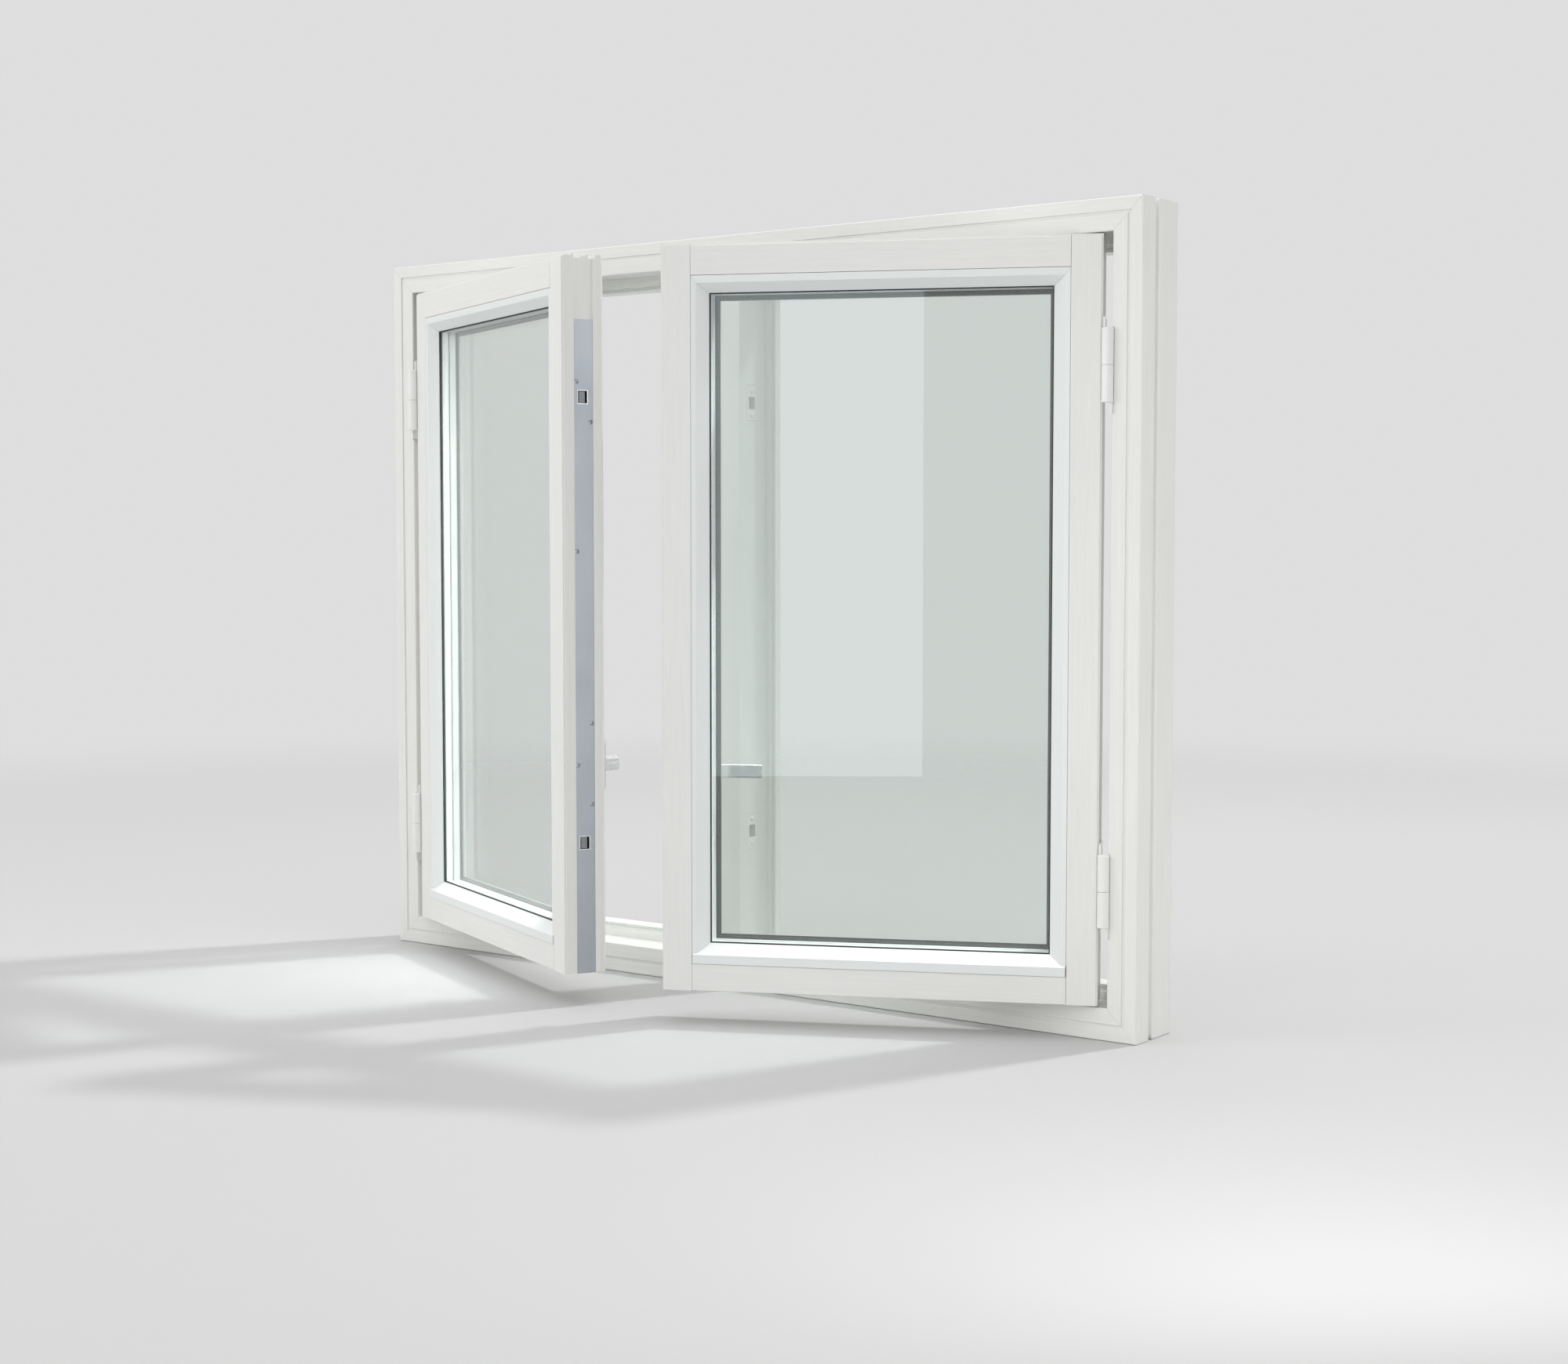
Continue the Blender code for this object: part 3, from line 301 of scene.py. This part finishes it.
# ---- trim that the CAD model leaves out ----

def sash_matrix(side):
    """From a sash's own axes, with X away from the hinge and Y inwards from its front, to the window's."""
    sign = SIDES[side]
    hinge = Vector((sign * (FRAME_W / 2 - AXIS_EDGE), AXIS_DEPTH - FRAME_D / 2, 0))
    corner = Matrix.Translation((-sign * (SASH_EDGE - AXIS_EDGE), SASH_FRONT - AXIS_DEPTH, 0))
    return (Matrix.Translation(hinge) @ Matrix.Rotation(sign * OPEN_ANGLE, 4, "Z") @ corner
            @ Matrix.Scale(-1 if sign > 0 else 1, 4, (1, 0, 0)))


def piece(name, bm, matrix, skin, body, smooth_below=None):
    """Links a bmesh as a finished piece that moves with a CAD body."""
    bmesh.ops.transform(bm, matrix=matrix, verts=bm.verts)
    bmesh.ops.recalc_face_normals(bm, faces=bm.faces)
    mesh = bpy.data.meshes.new(name)
    bm.to_mesh(mesh)
    bm.free()
    if smooth_below is not None:
        mesh.polygons.foreach_set("use_smooth", [True] * len(mesh.polygons))
        mesh.set_sharp_from_angle(angle=math.radians(smooth_below))
    mesh.materials.append(skin)
    made = bpy.data.objects.new(name, mesh)
    bpy.context.scene.collection.objects.link(made)
    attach(made, body)
    return made


def swept_ring(corners_of, section):
    """A closed ring: each section point gives four corners, which are joined round and to the next point's."""
    bm = bmesh.new()
    loops = [[bm.verts.new(corner) for corner in corners_of(*point)] for point in section]
    for here, ahead in zip(loops, loops[1:] + loops[:1]):
        for i in range(len(here)):
            j = (i + 1) % len(here)
            bm.faces.new((here[i], here[j], ahead[j], ahead[i]))
    return bm


def arc(centre, radius, start, end, steps):
    """Points along an arc, as (across, depth)."""
    points = []
    for i in range(steps + 1):
        turn = math.radians(start + (end - start) * i / steps)
        points.append((centre[0] + radius * math.cos(turn), centre[1] + radius * math.sin(turn)))
    return points


def weatherstrip(side):
    """Seal round one light: a stem in the frame's kerf and a low rounded head in front of it."""
    sign = SIDES[side]
    outer_low, outer_high = SEAL_SLOT
    width = outer_high - outer_low - 2 * SEAL_SLACK
    head = arc((width / 2, STOP_DEPTH - SEAL_SUNK), width / 2, 0, -180, 8)
    section = [(0.0, STOP_DEPTH + SEAL_ROOT), (width, STOP_DEPTH + SEAL_ROOT)]
    section += [(across, STOP_DEPTH + (depth - STOP_DEPTH) * SEAL_FLAT) for across, depth in head]

    def corners(across, depth):
        y = depth - FRAME_D / 2
        inset = outer_low + SEAL_SLACK + across
        jamb = FRAME_W / 2 - inset
        post = MULLION_SEAL_SLOT[0] + SEAL_SLACK + across
        low, high = inset, FRAME_H - inset
        near, far = sign * post, sign * jamb
        return [(near, y, low), (far, y, low), (far, y, high), (near, y, high)]

    piece(f"weatherstrip_{side}", swept_ring(corners, section), Matrix(), SEAL, "frame", 40)


def glazing_tape(side):
    """Black tape that beds the inner pane on the sash's inside lip."""
    near, far = TAPE_INSETS
    front, back = TAPE_DEPTHS
    middle = (front + back) / 2
    section = ((near, front), (far, front), (far + TAPE_BULGE, middle), (far, back), (near, back))

    def corners(inset, depth):
        return [(inset, depth, SASH_BOTTOM + inset), (SASH_W - inset, depth, SASH_BOTTOM + inset),
                (SASH_W - inset, depth, SASH_TOP - inset), (inset, depth, SASH_TOP - inset)]

    bm = swept_ring(corners, section)
    piece(f"{side}_glazing_tape", bm, sash_matrix(side), GASKET, f"{side}_sash")


def circle(bm, radius, height, sides):
    """A ring of new vertices round Z."""
    turns = (2 * math.pi * i / sides for i in range(sides))
    return [bm.verts.new((radius * math.cos(turn), radius * math.sin(turn), height)) for turn in turns]


def wall(bm, low, high):
    """Faces that join two rings with as many vertices."""
    for i in range(len(low)):
        j = (i + 1) % len(low)
        bm.faces.new((low[i], low[j], high[j], high[i]))


def screw_head(radius, rise, recess_turn):
    """A low domed head standing on the XY plane, with a cross recess turned by some degrees."""
    bm = bmesh.new()
    rings = [circle(bm, radius, -HEAD_SUNK, HEAD_SIDES)]
    rings += [circle(bm, radius * across, rise * up, HEAD_SIDES) for across, up in HEAD_PROFILE]
    for low, high in zip(rings, rings[1:]):
        wall(bm, low, high)
    bm.faces.new(rings[0])
    arm_share, half_share, taper, depth = RECESS
    arm, half = radius * arm_share, radius * half_share
    cross = []
    for quarter in range(4):
        turn = quarter * math.pi / 2 + math.radians(recess_turn)
        for x, y in ((arm, -half), (arm, half), (half, half)):
            across, up = math.cos(turn), math.sin(turn)
            cross.append((x * across - y * up, x * up + y * across))
    rim = [bm.verts.new((x, y, rise)) for x, y in cross]
    floor = [bm.verts.new((x * taper, y * taper, rise - depth)) for x, y in cross]
    wall(bm, rim, floor)
    bm.faces.new(floor)
    top_edges = [edge for edge in bm.edges if edge.is_boundary]
    bmesh.ops.triangle_fill(bm, use_beauty=True, edges=top_edges)
    return bm


def plate_screws(side):
    """Countersunk screws that hold the espagnolette's faceplate."""
    for number, (depth, z) in enumerate(SCREWS, 1):
        bm = screw_head(*PLATE_SCREW, PLATE_SCREW_TURN * number)
        seat = Matrix.Translation((PLATE_FACE - PLATE_SCREW_SUNK, depth, z))
        place = seat @ Matrix.Rotation(math.radians(90), 4, "Y")
        name = f"{side}_plate_screw_{number}"
        piece(name, bm, sash_matrix(side) @ place, SCREW, f"{side}_sash", 30)


def bolt_rims(side):
    """The bright pressed rim of each bolt window in the faceplate."""
    half_d, half_z = BOLT_WINDOW[0] / 2, BOLT_WINDOW[1] / 2
    over, edge, lined = RIM_SKIN
    foot, crest, root = PLATE_FACE + over, PLATE_FACE + RIM_PROUD, PLATE_FACE - RIM_LINING
    section = (
        (-edge, foot), (-RIM_WIDTH, foot), (-RIM_WIDTH * RIM_CREST, crest), (edge, crest),
        (lined, PLATE_FACE), (lined, root), (edge, root),
    )
    for level, z in zip(LEVELS, BOLT_HEIGHTS):

        def corners(inset, across):
            near, far = LOCK_MID - half_d + inset, LOCK_MID + half_d - inset
            low, high = z - half_z + inset, z + half_z - inset
            return [(across, near, low), (across, far, low), (across, far, high), (across, near, high)]

        bm = swept_ring(corners, section)
        piece(f"{side}_bolt_rim_{level}", bm, sash_matrix(side), RIM, f"{side}_sash")


def barrel_cap(reach, bore, rise):
    """A turned cap that slips over a barrel's end: a thin skirt and a low dome, with its rim at height 0."""
    profile = [(bore, 0.0), (reach, 0.0), (reach, rise * CAP_EDGE)]
    for turn in CAP_TURNS:
        profile.append((reach * math.cos(turn), rise * (CAP_EDGE + (1 - CAP_EDGE) * math.sin(turn))))
    bm = bmesh.new()
    rings = [circle(bm, radius, height, CAP_SIDES) for radius, height in profile]
    for low, high in zip(rings, rings[1:]):
        wall(bm, low, high)
    bm.faces.new(rings[0])
    bm.faces.new(rings[-1])
    return bm


def hinge_caps(side):
    """The caps at both ends of each hinge barrel."""
    axis_x, axis_y = SIDES[side] * (FRAME_W / 2 - AXIS_EDGE), AXIS_DEPTH - FRAME_D / 2
    for level, seam in zip(LEVELS, HINGE_HEIGHTS):
        for end, body, up in (("top", f"{side}_sash", 1), ("bottom", "frame", -1)):
            bm = barrel_cap(BARREL_R + CAP_OVERHANG, BARREL_R - CAP_WALL, CAP_SKIRT + CAP_DOME)
            place = Matrix.Translation((axis_x, axis_y, seam + up * (BARREL_HALF - CAP_SKIRT)))
            if up < 0:
                place = place @ Matrix.Rotation(math.pi, 4, "X")
            piece(f"hinge_{side}_{level}_cap_{end}", bm, place, HINGE_COAT, body, 40)


def keeper_screws(side):
    """Pan-head screws above and below each keeper's mouth."""
    sign = SIDES[side]
    face = sign * (MULLION_FACE + KEEPER_SCREW_PROUD)
    for level in LEVELS:
        low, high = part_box(f"keeper_{side}_{level}")
        middle = (low + high) / 2
        for end, rise in (("top", KEEPER_SCREW_RISE), ("bottom", -KEEPER_SCREW_RISE)):
            bm = screw_head(*KEEPER_SCREW, KEEPER_SCREW_TURNS[end])
            seat = Matrix.Translation((face, middle.y, middle.z + rise))
            place = seat @ Matrix.Rotation(math.radians(90 * sign), 4, "Y")
            name = f"keeper_{side}_{level}_screw_{end}"
            piece(name, bm, place, HINGE_COAT, "frame", 30)


for side in SIDES:
    weatherstrip(side)
    glazing_tape(side)
    plate_screws(side)
    bolt_rims(side)
    hinge_caps(side)
    keeper_screws(side)


# ---- stage ----

BACKDROP = 0.731
FLOOR_RADIUS, FLOOR_SIDES = 4.6, 96
FLOOR_DROP = 0.0005                  # below the frame's foot
FLOOR_ROUGHNESS = 0.9
# Near and far floor albedo; the far one is painted lighter as painted light, making up for the lamps' falloff
# far from the window
FLOOR_ALBEDO, FAR_PAINTED_LIGHT_ALBEDO = 0.568, 0.572
PAINTED_LIGHT_REACH = (0.9, 2.2)            # distances between which the floor's albedo rises: painted light, lighter far off to make up for the lamps' light falling off there
FADE_REACH = (1.5, 4.5)              # distances between which it turns into the backdrop
BRIGHT_SIDE = (-0.76, -0.12, 0.64)   # towards the brightest part of the sky
SKY_MIDDLE, SKY_SWING = 0.69, 0.25

# The key gives the cast shadows. Its cone is far wider than the floor that can be seen.
KEY = {
    "place": (2.78, 5.55, 9.34), "target": (0.0, -0.3, 0.0),
    "spread": 50.0, "radius": 0.34, "power": 1700.0,
}
# Soft boxes that light: name, place, target, size, power
SOFT_BOXES = (
    ("overhead", (0.0, -0.5, 8.0), (0, 0, 0), (8.0, 8.0), 125.0),
    ("front_box", (-4.6, -5.2, 2.2), (0, 0, 0.5), (3.0, 3.0), 72.0),
    ("foot_box", (1.25, -0.80, 0.45), (0.62, -0.12, 0.25), (0.5, 0.5), 1.6),
)
# Boxes that only show as glints on edges, metal and glass: the same, then colour
GLINTS = (
    ("side_strip", (3.9, 1.2, 1.5), (0, 0, 0.6), (0.35, 2.9), 95.0, (1, 1, 1)),
    ("top_strip", (0.0, -0.4, 5.0), (0, 0, 0.9), (6.0, 0.6), 260.0, (1, 1, 1)),
    ("glass_glow", (0.93, -3.12, 0.85), (0.2, -0.25, 0.85), (0.68, 1.7), 8.0, (0.88, 1.0, 1.06)),
)

LENS, SENSOR = 53.19, 36.0           # mm
CAMERA_PLACE = (1.8671, -2.4537, 0.5894)
CAMERA_TILT, CAMERA_TURN = -3.458, 36.295   # degrees from level, and from facing +Y


def studio_floor():
    """A pale floor that fades into the backdrop far from the window. Its colour is painted a touch lighter far
    off: painted light that makes up for the lamps' falloff.
    """
    bm = bmesh.new()
    bmesh.ops.create_circle(bm, cap_ends=True, segments=FLOOR_SIDES, radius=FLOOR_RADIUS)
    mesh = bpy.data.meshes.new("floor")
    bm.to_mesh(mesh)
    bm.free()
    made, tree, shader = new_material("floor_pale")
    shader.inputs["Roughness"].default_value = FLOOR_ROUGHNESS
    shader.inputs["Specular IOR Level"].default_value = 0.0
    coords = add(tree, "ShaderNodeTexCoord")
    length = add(tree, "ShaderNodeVectorMath", operation="LENGTH")
    fade = add(tree, "ShaderNodeMapRange", interpolation_type="SMOOTHERSTEP")
    fade.inputs["From Min"].default_value, fade.inputs["From Max"].default_value = FADE_REACH
    clear = add(tree, "ShaderNodeBsdfTransparent")
    mix = add(tree, "ShaderNodeMixShader")
    tree.links.new(coords.outputs["Object"], length.inputs[0])
    # the albedo rises with distance: painted light for the lamps' falloff far from the window
    albedo = mapped(tree, length.outputs["Value"], FLOOR_ALBEDO, FAR_PAINTED_LIGHT_ALBEDO, *PAINTED_LIGHT_REACH)
    tree.links.new(albedo, shader.inputs["Base Color"])
    tree.links.new(length.outputs["Value"], fade.inputs["Value"])
    tree.links.new(fade.outputs["Result"], mix.inputs[0])
    tree.links.new(shader.outputs["BSDF"], mix.inputs[1])
    tree.links.new(clear.outputs["BSDF"], mix.inputs[2])
    tree.links.new(mix.outputs["Shader"], tree.nodes["Material Output"].inputs["Surface"])
    mesh.materials.append(made)
    floor = bpy.data.objects.new("floor", mesh)
    floor.location.z = -FLOOR_DROP
    bpy.context.scene.collection.objects.link(floor)


def aimed_lamp(data, place, target):
    """A lamp object that points at a target."""
    lamp = bpy.data.objects.new(data.name, data)
    lamp.location = place
    lamp.rotation_euler = (Vector(target) - Vector(place)).to_track_quat("-Z", "Y").to_euler()
    bpy.context.scene.collection.objects.link(lamp)
    return lamp


def spot_light(name, place, target, spread, radius, power):
    """A far lamp with a wide soft-edged cone, whose radius sets how soft its shadows are."""
    data = bpy.data.lights.new(name, "SPOT")
    data.spot_size = math.radians(spread)
    data.spot_blend = 1.0
    data.shadow_soft_size = radius
    data.energy = power
    aimed_lamp(data, place, target)


def area_light(name, place, target, size, power, color=(1, 1, 1), gloss_only=False):
    """A soft box aimed at a point; a gloss_only one gives glints."""
    data = bpy.data.lights.new(name, "AREA")
    data.shape = "RECTANGLE"
    data.size, data.size_y = size
    data.energy = power
    data.color = color
    lamp = aimed_lamp(data, place, target)
    lamp.visible_camera = False
    if gloss_only:
        lamp.visible_diffuse = False
        lamp.visible_transmission = False


def soft_world():
    """An even backdrop to look at, and a soft sky that is brightest above and to the left to light with."""
    world = bpy.data.worlds.new("backdrop")
    world.use_nodes = True
    tree = world.node_tree
    background = tree.nodes["Background"]
    path = add(tree, "ShaderNodeLightPath")
    seen = combined(tree, "MAXIMUM", path.outputs["Is Camera Ray"], path.outputs["Is Singular Ray"])
    coords = add(tree, "ShaderNodeTexCoord")
    facing = add(tree, "ShaderNodeVectorMath", operation="DOT_PRODUCT")
    facing.inputs[1].default_value = BRIGHT_SIDE
    tree.links.new(coords.outputs["Generated"], facing.inputs[0])
    sky = mapped(tree, facing.outputs["Value"], SKY_MIDDLE - SKY_SWING, SKY_MIDDLE + SKY_SWING, -1.0, 1.0)
    pick = add(tree, "ShaderNodeMix", data_type="FLOAT")
    tree.links.new(seen, pick.inputs[0])
    tree.links.new(sky, pick.inputs[2])
    pick.inputs[3].default_value = BACKDROP
    background.inputs["Color"].default_value = (1, 1, 1, 1)
    tree.links.new(pick.outputs[0], background.inputs["Strength"])
    return world


def studio():
    """The world, the floor and the lamps."""
    scene = bpy.context.scene
    scene.world = soft_world()
    scene.view_settings.view_transform = "Standard"
    scene.view_settings.look = "None"
    studio_floor()
    spot_light("key", **KEY)
    for box in SOFT_BOXES:
        area_light(*box)
    for glint in GLINTS:
        area_light(*glint, gloss_only=True)


def viewing_camera():
    """The camera, a little above the floor to the window's right, looking slightly down."""
    data = bpy.data.cameras.new("camera")
    data.lens = LENS
    data.sensor_width = SENSOR
    camera = bpy.data.objects.new("camera", data)
    camera.location = CAMERA_PLACE
    camera.rotation_euler = (math.radians(90 + CAMERA_TILT), 0, math.radians(CAMERA_TURN))
    bpy.context.scene.collection.objects.link(camera)
    bpy.context.scene.camera = camera


studio()
viewing_camera()

bpy.context.view_layer.update()
